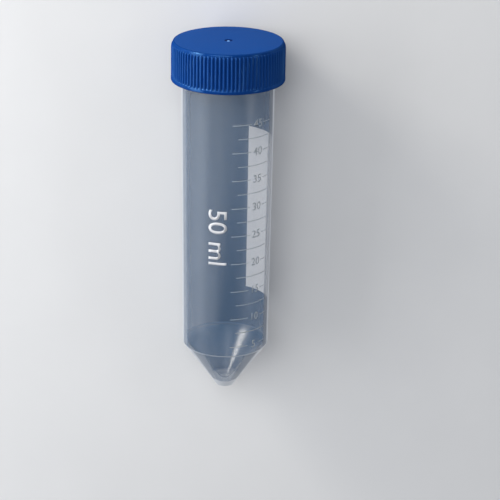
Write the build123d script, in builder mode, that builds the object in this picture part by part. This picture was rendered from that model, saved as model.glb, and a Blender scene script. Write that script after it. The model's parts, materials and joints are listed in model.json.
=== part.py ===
"""A 50 ml conical centrifuge tube with its screw cap, lying on its side as it comes to rest.

Each piece is drawn upright about the Z axis, with the outside of the tube's tip at Z = 0,
and is laid down at the end. Millimetres.
"""

import os
from math import atan2, cos, degrees, radians, sin, tan

from build123d import *

os.makedirs("parts", exist_ok=True)

# Tube: a one-piece polypropylene moulding
tube_height = 114.8  # tip to rim
barrel_radius = 14.45  # outside, at the band under the cap
barrel_draft = 0.48  # degrees, on the outside below the band
band_length = 12.0  # straight stretch under the cap, where a rack or clamp holds the tube
band_gap = 0.4  # from the band up to the cap
cone_height = 15.9  # tip to shoulder
shoulder_fillet = 0.9  # outside, where barrel and cone meet
wall = 1.1  # barrel and cone
tip_radius = 2.7  # flat end of the cone
tip_edge = 0.35  # bevel round that end
floor_thickness = 1.7  # solid plastic under the cavity
floor_radius = 1.5  # rounded bottom of the cavity
nub_radius = 0.55  # moulding nub beside the tip
neck_step = 0.3  # the neck is this much smaller in radius than the band
rim_edge = 0.35  # chamfers round the rim

# Cap: a one-piece screw cap with a ribbed skirt
cap_height = 12.45
top_thickness = 1.7
skirt_wall = 1.5
thread_space = 1.6  # between neck and skirt, for the two threads
rib_height = 0.5
rib_width = 0.9  # at the skirt; its sides meet in a crest
rib_bevel = 1.2  # height of the slope at a rib's upper end
rib_count = 90
rib_margin_top = 0.8  # rounded edge and plain band above the ribs
rim_band = 1.0  # plain band below them
rim_band_proud = 0.53  # the lower band stands this far out of the valleys, just past the ribs
top_fillet = 0.6
bottom_edge = 0.35  # bevel round the lower end of the skirt
plug_depth = 3.0  # seal ring that plugs the mouth
plug_wall = 0.9
plug_clearance = 0.05  # between seal ring and mouth, in radius
plug_taper = 0.35  # the ring's foot is this much smaller in radius
dimple_radius = 1.3  # round recess in the middle of the top
dimple_depth = 0.3
dimple_slope = 30  # degrees, of its side
gate_radius = 0.4  # gate mark that stands in the recess
gate_height = 0.22
gate_slope = 20  # degrees

# Heights and radii that follow from these
cap_top = tube_height + top_thickness
cap_bottom = cap_top - cap_height
band_top = cap_bottom - band_gap
band_bottom = band_top - band_length
shoulder_radius = barrel_radius - (band_bottom - cone_height) * tan(radians(barrel_draft))
neck_radius = barrel_radius - neck_step
cone_angle = atan2(shoulder_radius - tip_radius, cone_height)
bore_radius = barrel_radius - wall  # from the foot of the band up
bore_shoulder_radius = shoulder_radius - wall
bore_shoulder = cone_height + wall * (1 / cos(cone_angle) - 1) / tan(cone_angle)
bore_foot = floor_thickness + floor_radius * (1 - sin(cone_angle))
bore_foot_radius = floor_radius * cos(cone_angle)
skirt_inner = neck_radius + thread_space
valley_radius = skirt_inner + skirt_wall
band_radius = valley_radius + rim_band_proud
rib_tip = valley_radius + rib_height
rib_bottom = cap_bottom + rim_band
rib_top = cap_top - rib_margin_top

# Tube: barrel, cone and neck are turned as one wall, then hollowed
with BuildPart() as tube:
    with BuildSketch(Plane.XZ) as outside:
        with BuildLine():
            Polyline(
                (0, 0),
                (tip_radius, 0),
                (shoulder_radius, cone_height),
                (barrel_radius, band_bottom),
                (barrel_radius, band_top),
                (neck_radius, band_top + neck_step),
                (neck_radius, tube_height),
                (0, tube_height),
                close=True,
            )
        make_face()
        chamfer(outside.vertices().sort_by_distance((tip_radius, 0, 0))[0], tip_edge)
        fillet(outside.vertices().sort_by_distance((shoulder_radius, cone_height, 0))[0], shoulder_fillet)
    revolve(axis=Axis.Z)
    with BuildSketch(Plane.XZ):
        with BuildLine():
            Line((0, tube_height), (0, floor_thickness))
            RadiusArc((0, floor_thickness), (bore_foot_radius, bore_foot), -floor_radius)
            Polyline(
                (bore_foot_radius, bore_foot),
                (bore_shoulder_radius, bore_shoulder),
                (bore_radius, band_bottom),
                (bore_radius, tube_height),
                (0, tube_height),
            )
        make_face()
    revolve(axis=Axis.Z, mode=Mode.SUBTRACT)
    rim = tube.edges().filter_by(GeomType.CIRCLE).group_by(Axis.Z)[-1]
    chamfer(rim, rim_edge)
    with Locations((-tip_radius, 0, nub_radius + tip_edge)):
        Sphere(nub_radius)
tube.part.label = "tube"

# Cap: top plate, skirt and seal ring
with BuildPart() as cap:
    with BuildSketch(Plane.XZ) as shell:
        with BuildLine():
            Polyline(
                (0, cap_top),
                (valley_radius, cap_top),
                (valley_radius, rib_bottom),
                (band_radius, rib_bottom),
                (band_radius, cap_bottom),
                (skirt_inner, cap_bottom),
                (skirt_inner, tube_height),
                (0, tube_height),
                close=True,
            )
        make_face()
        fillet(shell.vertices().sort_by_distance((valley_radius, cap_top, 0))[0], top_fillet)
        chamfer(shell.vertices().sort_by_distance((band_radius, cap_bottom, 0))[0], bottom_edge)
    revolve(axis=Axis.Z)
    # Seal ring: a lip that narrows towards its foot
    plug_radius = bore_radius - plug_clearance
    with BuildSketch(Plane.XZ):
        with BuildLine():
            Polyline(
                (plug_radius, tube_height + top_thickness / 2),
                (plug_radius, tube_height - plug_depth / 2),
                (plug_radius - plug_taper, tube_height - plug_depth),
                (plug_radius - plug_wall, tube_height - plug_depth),
                (plug_radius - plug_wall, tube_height + top_thickness / 2),
                close=True,
            )
        make_face()
    revolve(axis=Axis.Z)
    # Recess with the gate mark
    with BuildSketch(Plane.XY.offset(cap_top)):
        Circle(dimple_radius)
    extrude(amount=-dimple_depth, mode=Mode.SUBTRACT, taper=dimple_slope)
    with BuildSketch(Plane.XY.offset(cap_top - dimple_depth)):
        Circle(gate_radius)
    extrude(amount=gate_height, taper=gate_slope)
    # Grip ribs: ridges that slope away at the top and run into the lower band
    with BuildSketch(Plane.XY.offset(rib_bottom), mode=Mode.PRIVATE) as rib_section:
        root = rib_tip - 2 * rib_height
        Polygon((rib_tip, 0), (root, rib_width), (root, -rib_width), align=None)
    ridge = extrude(rib_section.sketch, rib_top - rib_bottom, mode=Mode.PRIVATE)
    slope = Plane(origin=(valley_radius, 0, rib_top), z_dir=(rib_bevel, 0, rib_height))
    rib = split(ridge, bisect_by=slope, keep=Keep.BOTTOM, mode=Mode.PRIVATE)
    with PolarLocations(0, rib_count):
        add(rib)
cap.part.label = "cap"

# Laid down: the axis along X with the cap at +X, on the cap's lower band and the shoulder
lean = degrees(atan2(band_radius - shoulder_radius, cap_bottom + bottom_edge - cone_height))
laid = Plane(origin=(0, 0, 0), x_dir=(0, -1, 0), z_dir=(cos(radians(lean)), 0, sin(radians(lean))))
tube.part.move(laid.location)
cap.part.move(laid.location)
middle = (tube.part.bounding_box().min.X + cap.part.bounding_box().max.X) / 2
seat = Location((-middle, 0, -cap.part.bounding_box().min.Z))
tube.part.move(seat)
cap.part.move(seat)

export_step(tube.part, "parts/tube.step")
export_step(cap.part, "parts/cap.step")
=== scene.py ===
"""A 50 ml conical tube with a blue screw cap, lying on a pale floor with its printed scale up."""
import bpy
import json
from math import atan2, cos, pi, radians, sin
from mathutils import Matrix, Vector


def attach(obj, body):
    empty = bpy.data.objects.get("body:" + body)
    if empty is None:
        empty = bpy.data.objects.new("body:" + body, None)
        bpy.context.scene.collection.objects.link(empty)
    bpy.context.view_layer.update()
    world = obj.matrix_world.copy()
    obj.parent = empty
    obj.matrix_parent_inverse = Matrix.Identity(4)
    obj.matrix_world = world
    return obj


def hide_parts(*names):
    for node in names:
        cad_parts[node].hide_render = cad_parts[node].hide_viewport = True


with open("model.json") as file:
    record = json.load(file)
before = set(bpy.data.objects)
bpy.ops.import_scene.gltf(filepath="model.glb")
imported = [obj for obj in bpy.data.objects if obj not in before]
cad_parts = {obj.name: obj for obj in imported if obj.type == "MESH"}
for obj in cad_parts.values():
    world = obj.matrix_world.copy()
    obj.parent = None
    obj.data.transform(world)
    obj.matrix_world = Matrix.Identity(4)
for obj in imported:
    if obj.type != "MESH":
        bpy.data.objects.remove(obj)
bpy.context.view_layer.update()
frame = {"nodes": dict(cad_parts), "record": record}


# ---- Tube ----
# One moulding of natural polypropylene: barrel, cone, neck and flat tip. The plastic is milky, so
# a wall hides little face on and looks denser edge on, at the bend of the shoulder and in the
# solid tip. The CAD node has the true shape and only gets its finish here.
tube_height = 0.1148
shoulder_height = 0.0159
band_middle = 0.09765

# What is added is drawn upright, with the tip at the origin and -Y as the side that faces up once
# it lies. The barrel's mount gives the axis, from the middle of the band under the cap
barrel = next(m for m in frame["record"]["mounts"] if m["name"] == "barrel")
along = -Vector(barrel["axis"]).normalized()
down = Vector((0, -1, 0)).cross(along) * -1
tip = Vector(barrel["pos_m"]) - along * band_middle
laid = Matrix.Translation(tip) @ Matrix((Vector((0, -1, 0)), down, along)).transposed().to_4x4()


class Wire:
    """A socket of a finish's nodes, on which sums can be written."""

    def __init__(self, finish, socket):
        self.finish = finish
        self.socket = socket

    def sum(self, operation, *terms):
        """A Math node on these terms."""
        return self.finish.node("Math", {"operation": operation}, dict(enumerate(terms)))

    def __add__(self, other):
        return self.sum("ADD", self, other)

    def __sub__(self, other):
        return self.sum("SUBTRACT", self, other)

    def __rsub__(self, other):
        return self.sum("SUBTRACT", other, self)

    def __mul__(self, other):
        return self.sum("MULTIPLY", self, other)

    def __gt__(self, other):
        return self.sum("GREATER_THAN", self, other)

    def __lt__(self, other):
        return self.sum("LESS_THAN", self, other)

    def __abs__(self):
        return self.sum("ABSOLUTE", self)

    def at_most(self, other):
        """The smaller of the two."""
        return self.sum("MINIMUM", self, other)

    __radd__ = __add__
    __rmul__ = __mul__


class Finish:
    """A material, and the one way in which nodes are added to it."""

    def __init__(self, name):
        self.material = bpy.data.materials.new(name)
        self.material.use_nodes = True
        self.tree = self.material.node_tree
        self.tree.nodes.clear()

    def node(self, kind, settings=None, sockets=None, out=0):
        """A node of a kind: its settings are set first, then its sockets' values or links."""
        made = self.tree.nodes.new("ShaderNode" + kind)
        for name, value in (settings or {}).items():
            setattr(made, name, value)
        for key, value in (sockets or {}).items():
            if isinstance(value, Wire):
                self.tree.links.new(value.socket, made.inputs[key])
            else:
                made.inputs[key].default_value = value
        return Wire(self, made.outputs[out]) if made.outputs else None

    def noise(self, place, scale, detail):
        """Soft unevenness from 0 to 1, with so many spots to the metre."""
        return self.node("TexNoise", {}, {"Vector": place, "Scale": scale, "Detail": detail})

    def between(self, share, first, second):
        """The colour that lies at a share of the way from the first to the second."""
        return self.node("Mix", {"data_type": "RGBA"}, {0: share, 6: first, 7: second}, out=2)

    def eased(self, value, low, high, start=0.0, end=1.0):
        """A smooth step from start to end, as a value goes from low to high."""
        return self.node("MapRange", {"interpolation_type": "SMOOTHSTEP"}, {
            "Value": value, "From Min": low, "From Max": high, "To Min": start, "To Max": end})

    def upright(self, place):
        """A place on the upright tube, with its height and its distance from the axis."""
        stood = self.node("Mapping", {"vector_type": "TEXTURE"}, {
            "Vector": place, "Location": laid.translation, "Rotation": laid.to_euler()})
        height = self.node("SeparateXYZ", {}, {0: stood}, out="Z")
        across = self.node("VectorMath", {"operation": "MULTIPLY"}, {0: stood, 1: (1, 1, 0)})
        radius = self.node("VectorMath", {"operation": "LENGTH"}, {0: across}, out="Value")
        return stood, height, radius

    def show(self, shader):
        """Ends the finish with this shader, and gives its material."""
        self.node("OutputMaterial", {}, {"Surface": shader})
        return self.material


milk_deep = (0.034, 0.140, 0.30, 1)
milk_light = (0.050, 0.168, 0.345, 1)
wall_grey = (0.20, 0.225, 0.27, 1)
rim_white = (0.20, 0.215, 0.24, 1)
# Emission colour of the dense places: a painted glow
rim_painted_glow = (0.22, 0.235, 0.26, 1)
no_glow = (0.0, 0.0, 0.0, 1)
polypropylene_ior = 1.49

# Long streaks of the melt's flow, a cloudiness of some millimetres, and the fine grain of the skin
milky = Finish("milky polypropylene")
stood, height, radius = milky.upright(milky.node("TexCoord", out="Object"))
streaks = milky.node("Mapping", {}, {"Vector": stood, "Scale": (260.0, 260.0, 9.0)})
flow = milky.noise(streaks, 1.0, 3.0)
cloud = milky.noise(stood, 90.0, 4.0)
skin = milky.noise(stood, 1500.0, 2.0)

# The middle of the wall parts the outside of the tube from its bore: it widens along the cone,
# then slightly along the barrel, up to the neck
cone_middle = 0.0020 + 0.70 * height
barrel_middle = 0.01313 + 0.0084 * height
neck_middle = 0.0138
outside = radius > cone_middle.at_most(barrel_middle).at_most(neck_middle)
from_behind = milky.node("NewGeometry", out="Backfacing")
near_wall = outside * (1 - from_behind)
far_wall = outside * from_behind

# Where the plastic is dense: edge on, in a band inside the edge where the line of sight runs
# along the wall, at the bend of the shoulder, and in the solid tip
grazing = milky.node("LayerWeight", {}, {"Blend": 0.5}, out="Facing")
edge = milky.eased(grazing, 0.73, 0.86)
wall_line = milky.eased(grazing, 0.54, 0.62)
off_shoulder = abs(height - (shoulder_height - 0.0001))
shoulder_line = milky.eased(off_shoulder, 0.0, 0.0004, 1.0, 0.0)
solid_tip = milky.eased(height, 0.0020, 0.0038, 1.0, 0.0)
in_cone = milky.eased(height, 0.0140, 0.0158, 1.0, 0.0)

# How much of what lies behind is hidden. The far wall hides the most, so that the tube is milky
# as a whole while its near wall stays clear
haze = 0.09 + 0.04 * flow + 0.06 * in_cone
far_haze = far_wall * (0.48 + 0.10 * in_cone)
wall_haze = 0.55 * wall_line * near_wall
rims = 0.8 * edge * outside + shoulder_line * (0.7 * near_wall + 0.25 * far_wall) + solid_tip
density = milky.node("Clamp", {}, {0: haze + far_haze + wall_haze + rims})

# The dense places are whiter, with a painted glow standing in for light carried through the wall
tint = milky.between(cloud, milk_deep, milk_light)
greyer = milky.between(0.8 * wall_line * outside, tint, wall_grey)
whiteness_and_painted_glow = milky.node("Clamp", {}, {0: 1.3 * rims + 0.2 * wall_line * outside * in_cone})
ripple = milky.node("Bump", {}, {
    "Height": flow + 0.3 * skin, "Distance": 0.00003, "Strength": 0.25})
milky_body = milky.node("BsdfPrincipled", {}, {
    "Base Color": milky.between(whiteness_and_painted_glow, greyer, rim_white), "Roughness": 0.3 + 0.1 * cloud,
    "IOR": polypropylene_ior, "Alpha": density, "Normal": ripple,
    "Emission Color": milky.between(whiteness_and_painted_glow, no_glow, rim_painted_glow), "Emission Strength": 1.0})

# The sheen is weak on the outside and stronger in the bore, above all in the cone. It stays
# moderate at the flattest angles, so that the edges keep their white
glint = milky.node("Fresnel", {}, {"IOR": polypropylene_ior}).at_most(0.3)
bore_gloss = 0.4 + 2.2 * in_cone
skin_gloss = 0.2
gloss = (1 - from_behind) * (bore_gloss * (1 - outside) + skin_gloss * outside)
sheen = milky.node("BsdfGlossy", {}, {"Color": (1, 1, 1, 1), "Roughness": 0.25 + 0.02 * outside})
tube = frame["nodes"]["tube"]
tube.material_slots[0].material = milky.show(
    milky.node("MixShader", {}, {0: glint * gloss, 1: milky_body, 2: sheen}))


# ---- Thread on the neck ----
# Moulded in one with the tube: a single right-handed ridge, less than two turns, that runs out
# into the neck at both ends. The cap's thread hangs under it.
neck_radius = 0.01415
neck_crest = 0.01532
thread_pitch = 0.0034
thread_turns = 1.75
thread_start = 0.1071
thread_bite = 0.0001
run_out_turns = 0.07
merge_distance = 2e-7


def drawn(name, places):
    """A bare line in the XZ plane, drawn out from one point through these (radius, height)s."""
    bpy.ops.object.select_all(action="DESELECT")
    radius, height = places[0]
    bpy.ops.mesh.primitive_plane_add(size=0.001, location=(0, 0, 0))
    piece = bpy.context.object
    piece.name = name
    piece.data.name = name
    bpy.ops.object.mode_set(mode="EDIT")
    bpy.ops.mesh.merge(type="CENTER")
    bpy.ops.transform.translate(value=(radius, 0, height))
    for next_radius, next_height in places[1:]:
        bpy.ops.mesh.extrude_region_move(TRANSFORM_OT_translate={
            "value": (next_radius - radius, 0, next_height - height)})
        radius, height = next_radius, next_height
    bpy.ops.mesh.select_all(action="SELECT")
    return piece


def merged(distance=merge_distance):
    """Joins the points that meet along the seams of the piece in edit mode."""
    bpy.ops.mesh.select_all(action="SELECT")
    bpy.ops.mesh.remove_doubles(threshold=distance)


def outward():
    """Turns the faces of the closed piece in edit mode outwards, and leaves edit mode."""
    merged()
    bpy.ops.mesh.normals_make_consistent(inside=False)
    bpy.ops.object.mode_set(mode="OBJECT")


def ridge(name, root, crest, start, foot, top):
    """A screw thread from root to crest radius, foot and top wide, that winds up from start."""
    corner = 0.0001
    rounded = root + 0.8 * (crest - root)
    piece = drawn(name, [
        (root, start - foot / 2),
        (rounded, start - top / 2 - corner), (crest, start - top / 2 + corner),
        (crest, start + top / 2 - corner), (rounded, start + top / 2 + corner),
        (root, start + foot / 2)])
    bpy.ops.mesh.edge_face_add()
    bpy.ops.mesh.delete(type="ONLY_FACE")
    bpy.ops.object.mode_set(mode="OBJECT")
    winding = piece.modifiers.new("winding", "SCREW")
    winding.angle = 2 * pi * thread_turns
    winding.screw_offset = thread_pitch * thread_turns
    winding.steps = winding.render_steps = round(72 * thread_turns)
    bpy.ops.object.modifier_apply(modifier=winding.name)

    # Both ends sink into the wall and grow narrower
    for point in piece.data.vertices:
        turn = atan2(point.co.y, point.co.x) / (2 * pi)
        turn += round((point.co.z - start) / thread_pitch - turn)
        left = min(1.0, max(0.02, min(turn, thread_turns - turn) / run_out_turns))
        full = sin(left * pi / 2)
        radius = point.co.xy.length
        point.co.xy *= (root + (radius - root) * full) / radius
        middle = start + turn * thread_pitch
        point.co.z = middle + (point.co.z - middle) * (0.4 + 0.6 * full)
    bpy.ops.object.mode_set(mode="EDIT")
    bpy.ops.mesh.select_all(action="SELECT")
    bpy.ops.mesh.fill_holes(sides=0)
    outward()
    bpy.ops.object.shade_smooth_by_angle(angle=radians(50))
    return piece


def lay(piece):
    """Puts a piece that was made upright where the tube lies, with its object at the origin."""
    piece.data.transform(laid)
    piece.data.update()


neck_thread = ridge("neck_thread", neck_radius - thread_bite, neck_crest, thread_start,
                    foot=0.0016, top=0.0007)
neck_thread.data.materials.append(milky.material)
lay(neck_thread)
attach(neck_thread, "tube")


# ---- Cap ----
# One moulding of blue polyethylene: a top plate with the gate mark in a small recess, and a skirt
# with rounded grip ribs that stand free at the top and run into a smooth band at the bottom.
cap_top = 0.1165
cap_bottom = 0.10405
valley_radius = 0.01725
band_radius = 0.01778
band_foot = 0.00035
skirt_inner = 0.01575
skirt_foot = 0.0003
rib_count = 90
rib_top = 0.1157
rib_bottom = 0.10505
rib_height = 0.00048
top_round = 0.0006
top_round_steps = 7
flat_edge = valley_radius - top_round
columns = 8


def alone(*pieces):
    """Makes these pieces the only ones selected, the first of them active."""
    bpy.ops.object.select_all(action="DESELECT")
    for piece in pieces:
        piece.select_set(True)
    bpy.context.view_layer.objects.active = pieces[0]


def is_at(point, radius, height, slack=3e-6):
    """Whether a point lies at that distance from the axis and at that height."""
    return abs(point.xy.length - radius) < slack and abs(point.z - height) < slack


def pick(piece, wanted):
    """Selects the points of a piece that are wanted by their place, and what lies between them."""
    bpy.ops.object.mode_set(mode="OBJECT")
    points = piece.data.vertices
    for point in points:
        point.select = wanted(point.co)
    for edge in piece.data.edges:
        edge.select = all(points[i].select for i in edge.vertices)
    for face in piece.data.polygons:
        face.select = all(points[i].select for i in face.vertices)
    bpy.ops.object.mode_set(mode="EDIT")


# Outside of one rib and its valley, as a plain sector from the edge of the top plate to the foot
# of the band. The levels along the rib lie close together where its ends are rounded
ends_above = (0.0, 0.0001, 0.0003, 0.0006, 0.0013)
ends_below = (0.0009, 0.0006, 0.00036, 0.00016, 0.0)
rib_levels = [rib_top - drop for drop in ends_above] + [rib_bottom + rise for rise in ends_below]
outline = [(flat_edge, cap_top)]
for step in range(1, top_round_steps + 1):
    turn = radians(90 * step / top_round_steps)
    outline.append((flat_edge + top_round * sin(turn), cap_top - top_round * (1 - cos(turn))))
outline += [(valley_radius, level) for level in rib_levels]
outline += [(band_radius, rib_bottom - 0.0002), (band_radius, cap_bottom + band_foot),
            (band_radius - 0.0001, cap_bottom + 0.00012), (band_radius - band_foot, cap_bottom)]
cap = drawn("screw_cap", outline)
bpy.ops.mesh.spin(steps=columns, angle=2 * pi / rib_count, center=(0, 0, 0), axis=(0, 0, 1))
merged()


def column_at(at):
    """How many columns a point is from the crest in the middle of the sector."""
    return abs(round(abs(atan2(at.y, at.x)) / (2 * pi / rib_count / columns)) - columns // 2)


# The rib is raised column by column, from its crest to the valley: full along its length, rounded
# off at its upper end, and met at its lower end by the valley's floor, which curves out to the
# band and begins to rise earlier on the rib's flank. All are shares of the rib's height
crest_shape = (1.0, 0.94, 0.74, 0.0, 0.0)
flank_column = 3
along_rib = (0.0, 0.4, 0.68, 0.86, 1.0) + (1.0,) * len(ends_below)
valley_scoop = (0.0,) * len(ends_above) + (0.0, 0.1, 0.42, 0.82, 1.1)
flank_scoop = (0.0,) * len(ends_above) + (0.08, 0.25, 0.6, 0.92, 1.1)
for column, crest in enumerate(crest_shape):
    scoops = flank_scoop if column == flank_column else valley_scoop
    for level, share, scoop in zip(rib_levels, along_rib, scoops):
        raised = max(crest * share, scoop)
        if raised > 0:
            grow = 1 + rib_height * raised / valley_radius
            pick(cap, lambda at: column_at(at) == column and is_at(at, valley_radius, level))
            bpy.ops.transform.resize(value=(grow, grow, 1), center_override=(0, 0, 0))
bpy.ops.mesh.select_all(action="SELECT")
bpy.ops.mesh.spin(steps=rib_count - 1, dupli=True, angle=2 * pi * (rib_count - 1) / rib_count,
                  center=(0, 0, 0), axis=(0, 0, 1))
merged(2e-6)
bpy.ops.object.mode_set(mode="OBJECT")


def turned(name, places, steps):
    """A surface turned about the axis from a line drawn through (radius, height)s."""
    piece = drawn(name, places)
    bpy.ops.mesh.spin(steps=steps, angle=2 * pi, center=(0, 0, 0), axis=(0, 0, 1))
    merged()
    bpy.ops.object.mode_set(mode="OBJECT")
    return piece


def bridged(piece, first, second):
    """Joins two open rims of a piece, each given by its radius and height."""
    pick(piece, lambda at: is_at(at, *first) or is_at(at, *second))
    bpy.ops.mesh.bridge_edge_loops()
    bpy.ops.object.mode_set(mode="OBJECT")


# Middle of the top: the cut-off stub of the gate, in its recess
recess = 0.0003
disc_radius = 0.006
gate_disc = turned("gate_disc", [
    (0.0, cap_top - 0.00008), (0.0002, cap_top - 0.0001), (0.00034, cap_top - 0.00016),
    (0.00044, cap_top - recess + 0.00003), (0.00052, cap_top - recess),
    (0.00078, cap_top - recess), (0.00095, cap_top - recess + 0.00005),
    (0.0012, cap_top - 0.00005), (0.00136, cap_top - 0.00001), (0.0016, cap_top),
    (disc_radius, cap_top)], 48)

# Inside of the cap: skirt, underside and the lip that plugs the mouth
rim = tube_height
lip_outer = 0.0133
lip_inner = 0.0124
lip_depth = 0.003
lining_skin = turned("lining_skin", [
    (skirt_inner + skirt_foot, cap_bottom), (skirt_inner, cap_bottom + 0.0004),
    (skirt_inner, rim - 0.0003), (skirt_inner - 0.0003, rim), (lip_outer, rim),
    (lip_outer, rim - 0.0015), (0.01295, rim - lip_depth), (0.0127, rim - lip_depth - 0.0001),
    (lip_inner, rim - lip_depth), (lip_inner, rim - 0.0002), (lip_inner - 0.0002, rim),
    (0.006, rim), (0.0, rim)], 144)
alone(cap, gate_disc, lining_skin)
bpy.ops.object.join()
bridged(cap, (disc_radius, cap_top), (flat_edge, cap_top))
bridged(cap, (band_radius - band_foot, cap_bottom), (skirt_inner + skirt_foot, cap_bottom))
bpy.ops.object.mode_set(mode="EDIT")
outward()
cap_crest = 0.01462
thread_drop = 0.0013
cap_thread = ridge("cap_thread", skirt_inner + thread_bite, cap_crest, thread_start - thread_drop,
                   foot=0.0014, top=0.0006)
alone(cap, cap_thread)
bpy.ops.object.join()
bpy.ops.object.shade_smooth_by_angle(angle=radians(42))

skirt_deep = (0.001, 0.027, 0.160, 1)
skirt_light = (0.0015, 0.034, 0.195, 1)
# The top plate is the skirt's plastic, painted lighter for the light that falls on the top
plate_deep_painted_lit = (0.004, 0.054, 0.25, 1)
plate_light_painted_lit = (0.006, 0.065, 0.29, 1)
# Dark blue of the recess: painted shade
recess_painted_shade = (0.001, 0.012, 0.09, 1)
# Pale spot on the gate's stub: a painted glint
gate_painted_glint = (0.20, 0.42, 0.85, 1)
sheen_blue = (0.22, 0.56, 1.0, 1)
painted_glint_radius = 0.0005
polyethylene_ior = 1.5

# The skirt is polished, with a thin blue sheen. The top plate is matt, and its colour is painted
# lighter for the light on it. Painted shade darkens the recess; a painted glint marks the gate's
# stub
blue = Finish("blue polyethylene")
blue_place = blue.node("TexCoord", out="Object")
blue_grain = blue.noise(blue_place, 2200.0, 2.0)
blue_cloud = blue.noise(blue_place, 120.0, 4.0)
blue_bump = blue.node("Bump", {}, {"Height": blue_grain, "Distance": 0.00002, "Strength": 0.25})
stood, height, radius = blue.upright(blue_place)
on_top = (height > cap_top - 0.0004) * (radius < flat_edge + 0.00004)
in_recess = on_top * (height < cap_top - 0.00003)
on_painted_glint = on_top * (radius < painted_glint_radius)
skirt_shade = blue.between(blue_cloud, skirt_deep, skirt_light)
plate_shade = blue.between(blue_cloud, plate_deep_painted_lit, plate_light_painted_lit)
# Painted shade darkens the recess
plate_shade = blue.between(in_recess, plate_shade, recess_painted_shade)
# A painted glint on the gate's stub
plate_shade = blue.between(on_painted_glint, plate_shade, gate_painted_glint)
skirt_body = blue.node("BsdfPrincipled", {}, {
    "Base Color": skirt_shade, "Roughness": 0.4, "IOR": polyethylene_ior,
    "Specular IOR Level": 0.0, "Normal": blue_bump})
skirt_sheen = blue.node("BsdfGlossy", {}, {
    "Color": sheen_blue, "Roughness": 0.1 + 0.06 * blue_cloud, "Normal": blue_bump})
polished = blue.node("MixShader", {}, {0: 0.05, 1: skirt_body, 2: skirt_sheen})
plate = blue.node("BsdfPrincipled", {}, {
    "Base Color": plate_shade, "Roughness": 0.55 + 0.1 * blue_cloud, "IOR": polyethylene_ior,
    "Specular IOR Level": 0.03, "Normal": blue_bump})
cap.data.materials.clear()
cap.data.materials.append(blue.show(
    blue.node("MixShader", {}, {0: on_top, 1: polished, 2: plate})))
lay(cap)
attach(cap, "cap")
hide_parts("cap")


# ---- Printed scale ----
# Pale ink on the outside of the barrel: a long line, a number and a dash at each 5 ml, and one
# unbroken line halfway between. The lines' heights follow from the volume of the bore.
print_radius = 0.0145
print_stand = 0.00003
ink_thickness = 0.00001
line_width = 0.00023
degrees_per_strip = 2.5
numeral_size = 0.0036
numeral_angle = 41.0
scale_dark = (0.36, 0.40, 0.44, 1)
scale_light = (0.45, 0.49, 0.53, 1)

# The first line is at 5 ml, and each next one is 2.5 ml up the tapered bore, in steps of 0.1 ml
first_volume = 5.0
last_volume = 45.0
mark_volume = 2.5
step_volume = 0.1
first_level = 0.01905
bore_at_shoulder = 0.0128
bore_at_band = 0.01335
band_bottom = 0.09165
bore_rise = (bore_at_band - bore_at_shoulder) / (band_bottom - shoulder_height)
levels = {}
level, millilitres = first_level, first_volume
while millilitres <= last_volume:
    levels[millilitres] = level
    for step in range(round(mark_volume / step_volume)):
        bore = bore_at_shoulder + bore_rise * (level - shoulder_height)
        level += step_volume * 1e-6 / (pi * bore * bore)
    millilitres += mark_volume


def block(start, end, level, tall, strips, rows=1):
    """A block of print between two angles right of the middle of the front, still flat."""
    bpy.ops.object.select_all(action="DESELECT")
    bpy.ops.mesh.primitive_grid_add(
        x_subdivisions=strips, y_subdivisions=rows, size=1.0,
        location=(radians(start + end) / 2 * print_radius, 0, level), rotation=(pi / 2, 0, 0))
    bpy.context.object.scale = (radians(end - start) * print_radius, tall, 1)
    bpy.ops.object.transform_apply(location=True, rotation=True, scale=True)
    return bpy.context.object


def line(start, end, level):
    """A printed line, with enough strips to follow the barrel."""
    return block(start, end, level, line_width, max(2, round((end - start) / degrees_per_strip)))


def lettering(words, size, angle, level, turn=0.0, weight=0.0):
    """Printed characters about a point, still flat, cut into strips that can follow the barrel."""
    strip_width = 0.0006
    bpy.ops.object.text_add(location=(0, 0, 0))
    text = bpy.context.object
    text.data.body = words
    text.data.size = size
    text.data.align_x = "CENTER"
    text.data.align_y = "CENTER"
    text.data.resolution_u = 6
    text.data.offset = weight
    bpy.ops.object.convert(target="MESH")
    piece = bpy.context.object
    piece.data.transform(Matrix.Translation((radians(angle) * print_radius, 0, level))
                         @ Matrix.Rotation(turn, 4, "Y") @ Matrix.Rotation(pi / 2, 4, "X"))
    bpy.ops.object.mode_set(mode="EDIT")
    low = min(point.co.x for point in piece.data.vertices)
    high = max(point.co.x for point in piece.data.vertices)
    cuts = round((high - low) / strip_width)
    for cut in range(1, cuts):
        bpy.ops.mesh.select_all(action="SELECT")
        bpy.ops.mesh.bisect(plane_co=(low + (high - low) * cut / cuts, 0, 0), plane_no=(1, 0, 0))
    bpy.ops.object.mode_set(mode="OBJECT")
    return piece


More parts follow.
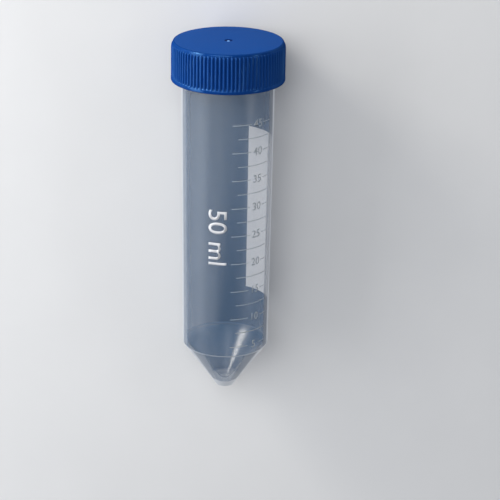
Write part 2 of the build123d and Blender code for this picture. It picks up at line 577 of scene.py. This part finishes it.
def printed(name, parts, ink, stand):
    """Joins flat print, wraps it round the barrel, lays it down and presses it on the tube."""
    alone(*parts)
    if len(parts) > 1:
        bpy.ops.object.join()
    piece = bpy.context.object
    piece.name = name
    piece.data.name = name
    across = [point.co.x for point in piece.data.vertices]
    wrap = piece.modifiers.new("wrap", "SIMPLE_DEFORM")
    wrap.deform_method = "BEND"
    wrap.deform_axis = "Z"
    wrap.angle = (max(across) - min(across)) / print_radius
    bpy.ops.object.modifier_apply(modifier=wrap.name)
    piece.data.transform(Matrix.Translation((0, -print_radius, 0)))
    lay(piece)
    press = piece.modifiers.new("press", "SHRINKWRAP")
    press.target = tube
    press.wrap_method = "NEAREST_SURFACEPOINT"
    press.wrap_mode = "ABOVE_SURFACE"
    press.offset = stand
    bpy.ops.object.modifier_apply(modifier=press.name)
    body = piece.modifiers.new("body", "SOLIDIFY")
    body.thickness = ink_thickness
    body.offset = 1
    bpy.ops.object.modifier_apply(modifier=body.name)
    bpy.ops.object.mode_set(mode="EDIT")
    bpy.ops.mesh.select_all(action="SELECT")
    bpy.ops.mesh.normals_make_consistent(inside=False)
    bpy.ops.object.mode_set(mode="OBJECT")
    piece.data.materials.clear()
    piece.data.materials.append(ink)
    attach(piece, "tube")


def ink_finish(name, dark, light, wear, glow=0.0):
    """Matt ink with a screen print's fine unevenness, wear that lets some through, and a painted
    glow.
    """
    ink = Finish(name)
    spot = ink.node("TexCoord", out="Object")
    grain = ink.noise(spot, 3200.0, 3.0)
    patches = ink.noise(spot, 260.0, 3.0)
    return ink.show(ink.node("BsdfPrincipled", {}, {
        "Base Color": ink.between(grain, dark, light),
        "Roughness": 0.5 + 0.2 * grain,
        "IOR": 1.45,
        "Alpha": ink.node("Clamp", {}, {0: 1 - wear * patches}),
        "Emission Color": light,
        "Emission Strength": glow,
        "Normal": ink.node("Bump", {}, {"Height": grain, "Distance": 0.00002, "Strength": 0.3})}))


scale_ink = ink_finish("scale ink", scale_dark, scale_light, wear=0.1)
marks = []
for millilitres, level in levels.items():
    if millilitres % 5:
        marks.append(line(13.5, 61.0, level))
    else:
        marks.append(line(6.3, 31.0, level))
        marks.append(lettering(f"{millilitres:.0f}", numeral_size, numeral_angle, level - 0.0001,
                               weight=0.00003))
        marks.append(line(50.5, 63.0, level))
printed("scale_print", marks, scale_ink, print_stand)


# ---- Capacity print ----
# The tube's capacity in white ink, reading down the front beside the scale.
capacity_size = 0.0085
capacity_angle = -12.5
capacity_level = 0.0565
white_dark = (0.60, 0.61, 0.65, 1)
white_light = (0.68, 0.69, 0.73, 1)
white_ink = ink_finish("white ink", white_dark, white_light, wear=0.12)
capacity = lettering("50 ml", capacity_size, capacity_angle, capacity_level, turn=pi / 2,
                     weight=0.00005)
printed("capacity_print", [capacity], white_ink, print_stand)


# ---- Writing area ----
# A block of white ink on the far side, to write on with a pen, with square ends. It lies just
# under the skin, so that the dense far wall doesn't veil it from the front.
area_low, area_high = 0.0296, 0.0849
area_start, area_end = 91.5, 151.5
area_dark = (0.80, 0.80, 0.81, 1)
area_light = (0.88, 0.88, 0.89, 1)
# The writing area's glow is painted light, standing in for light that comes through the wall
writing_ink = ink_finish("writing area ink", area_dark, area_light, wear=0.1, glow=0.18)
area = block(area_start, area_end, (area_low + area_high) / 2, area_high - area_low,
             strips=32, rows=12)
printed("writing_area", [area], writing_ink, -print_stand)


# ---- Floor, lamps and camera ----
# A pale matt floor, and four soft lamps: a long one low on the left, a small warm one off the
# cap's end that mirrors in the cone and the cap's edge, a large one over the cap's end, and a
# weak strip on the right.
floor_dark = (0.66, 0.67, 0.69, 1)
floor_light = (0.70, 0.71, 0.73, 1)
room_colour = (0.80, 0.82, 0.85, 1)
room_strength = 0.32
bpy.ops.object.select_all(action="DESELECT")
bpy.ops.mesh.primitive_grid_add(x_subdivisions=2, y_subdivisions=2, size=8.0, location=(0, 0, 0))
floor = bpy.context.object
floor.name = "floor"
matt = Finish("pale floor")
matt_noise = matt.noise(matt.node("TexCoord", out="Object"), 40.0, 5.0)
floor.data.materials.append(matt.show(matt.node("BsdfPrincipled", {}, {
    "Base Color": matt.between(matt_noise, floor_dark, floor_light),
    "Roughness": 0.7 + 0.1 * matt_noise, "IOR": 1.4})))

room = bpy.data.worlds.new("room")
bpy.context.scene.world = room
room.use_nodes = True
air = room.node_tree.nodes["Background"].inputs
air["Color"].default_value = room_colour
air["Strength"].default_value = room_strength


def lamp(name, place, size, watts, target=(0.0, 0.0, 0.0), colour=(1.0, 1.0, 1.0)):
    """A soft rectangular lamp at a place, turned towards a target."""
    bpy.ops.object.light_add(type="AREA", location=place)
    made = bpy.context.object
    made.name = name
    made.data.shape = "RECTANGLE"
    made.data.size, made.data.size_y = size
    made.data.energy = watts
    made.data.color = colour
    made.rotation_euler = (Vector(target) - Vector(place)).to_track_quat("-Z", "Y").to_euler()


lamp("left strip", (0.0, 0.46, 0.20), size=(0.6, 0.26), watts=2.0)
lamp("cap side", (0.40, 0.44, 0.15), size=(0.2, 0.16), watts=2.3,
     target=(-0.02, 0.0, 0.0), colour=(1.0, 0.95, 0.86))
lamp("overhead", (0.42, 0.22, 0.75), size=(0.6, 0.6), watts=3.8)
lamp("right edge", (0.0, -0.50, 0.33), size=(0.5, 0.05), watts=0.3)

# The camera looks down on the tube, and leans from square on towards the cap. Its lens is long,
# and is shifted to frame the whole tube
look_at = tip + along * 0.0598
view_distance = 0.5883
lean_to_cap = 20.32
roll = 0.659
rise = radians(90 - lean_to_cap) + atan2(along.z, along.x)
towards = Vector((cos(rise), 0, sin(rise)))
right = Vector((0, -1, 0))
facing = Matrix((right, towards.cross(right), towards)).transposed()
camera = bpy.data.objects.new("camera", bpy.data.cameras.new("camera"))
bpy.context.scene.collection.objects.link(camera)
camera.matrix_world = (Matrix.Translation(look_at + towards * view_distance)
                       @ (facing @ Matrix.Rotation(radians(roll), 3, "Z")).to_4x4())
camera.data.lens = 132.97
camera.data.sensor_width = 36.0
camera.data.shift_x = 0.0469
camera.data.shift_y = -0.0742
bpy.context.scene.camera = camera
bpy.context.scene.view_settings.view_transform = "Standard"
